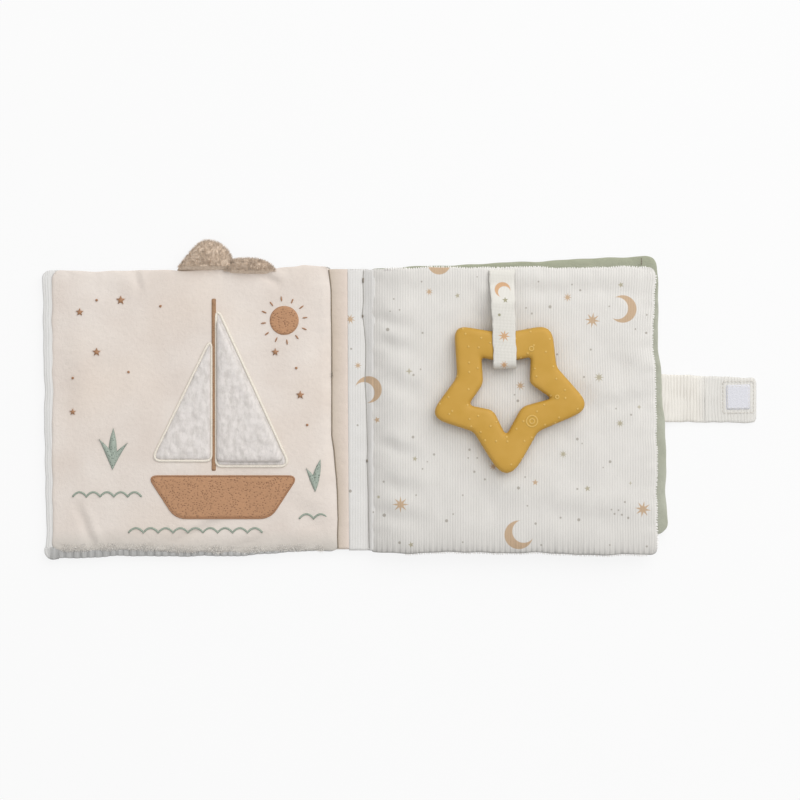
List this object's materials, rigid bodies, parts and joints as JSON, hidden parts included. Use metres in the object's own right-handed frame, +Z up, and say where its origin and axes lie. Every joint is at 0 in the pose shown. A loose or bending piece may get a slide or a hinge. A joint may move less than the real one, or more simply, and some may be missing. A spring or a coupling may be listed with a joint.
{
  "type": "baby activity book",
  "caption": "Soft cloth baby book lying open: two padded covers, a padded page, a liftable sail flap, a star teether on a tape loop and a closing strap.",
  "frame": {"origin": "on the table, under the middle of the back cover, at its flat base", "axes": "+X from the front cover across the spine to the back cover's strap; +Y towards the top of the pages; +Z up from the table"},
  "size_m": [0.3937, 0.1743, 0.0214],
  "materials": {
    "rib_outer": "fine ribbed knit, matt",
    "wadding": "loose polyester wadding",
    "velour_sage": "short-pile velour",
    "velour_peach": "short-pile velour",
    "printed_rib": "fine ribbed knit with a small tan print",
    "hook_and_loop": "hook and loop tape",
    "brown_plush": "long-pile teddy plush",
    "brown_thread": "satin stitch embroidery",
    "white_plush": "short-pile plush",
    "terracotta_thread": "filled embroidery",
    "cotton_tape": "woven tape with a small tan print",
    "silicone": "satin, food-grade silicone",
    "strap_rib": "ribbed knit, matt"
  },
  "bodies": {
    "back_cover": {"back_cover_outer": "rib_outer", "back_cover_wadding": "wadding", "back_cover_lining": "velour_sage"},
    "spine": {"spine_outer": "rib_outer", "spine_lining_peach": "velour_peach", "spine_lining_print": "printed_rib"},
    "front_cover": {"front_cover_outer": "rib_outer", "front_cover_wadding": "wadding", "front_cover_lining": "velour_peach", "loop_patch": "hook_and_loop", "plush_tab": "brown_plush", "main_sail": "white_plush", "jib_sail": "white_plush", "mast": "brown_thread", "boat_hull": "terracotta_thread", "sun_patch": "terracotta_thread"},
    "sail_flap": {"sail_flap": "white_plush"},
    "page": {"page_back": "printed_rib", "page_wadding": "wadding", "page_front": "printed_rib"},
    "ribbon": {"ribbon_loop": "cotton_tape"},
    "teether": {"star_teether": "silicone"},
    "strap": {"strap_base": "strap_rib"},
    "strap_tip": {"strap_end": "strap_rib", "hook_patch": "hook_and_loop"}
  },
  "joints": [
    {"name": "spine_fold", "type": "hinge", "parent": "back_cover", "child": "spine", "pos_m": [-0.0797, 0, 0.0048], "axis": [0, 1, 0], "range_deg": [0, 90]},
    {"name": "front_cover_fold", "type": "hinge", "parent": "spine", "child": "front_cover", "pos_m": [-0.1007, 0, 0.0048], "axis": [0, 1, 0], "range_deg": [0, 89]},
    {"name": "page_turn", "type": "hinge", "parent": "back_cover", "child": "page", "pos_m": [-0.0794, 0, 0.00615], "axis": [0, 1, 0], "range_deg": [-150, 0]},
    {"name": "ribbon_lift", "type": "hinge", "parent": "page", "child": "ribbon", "pos_m": [-0.0072, 0.08, 0.0093], "axis": [1, 0, 0], "range_deg": [-170, 0]},
    {"name": "teether_slide", "type": "slide", "parent": "ribbon", "child": "teether", "axis": [0, 1, 0], "range_m": [0, 0.014]},
    {"name": "sail_flap_lift", "type": "hinge", "parent": "front_cover", "child": "sail_flap", "pos_m": [-0.1642, 0, 0.0087], "axis": [0, 1, 0], "range_deg": [-160, 0]},
    {"name": "strap_fold", "type": "hinge", "parent": "back_cover", "child": "strap", "pos_m": [0.0807, 0.0072, 0.0041], "axis": [0, -1, 0], "range_deg": [0, 90]},
    {"name": "strap_tip_fold", "type": "hinge", "parent": "strap", "child": "strap_tip", "pos_m": [0.1118, 0.0066, 0.0022], "axis": [0, -1, 0], "range_deg": [0, 90]}
  ],
  "couplings": [
    {"joint": "front_cover_fold", "follows": "spine_fold", "ratio": 0.98888},
    {"joint": "strap_tip_fold", "follows": "strap_fold", "ratio": 1}
  ]
}
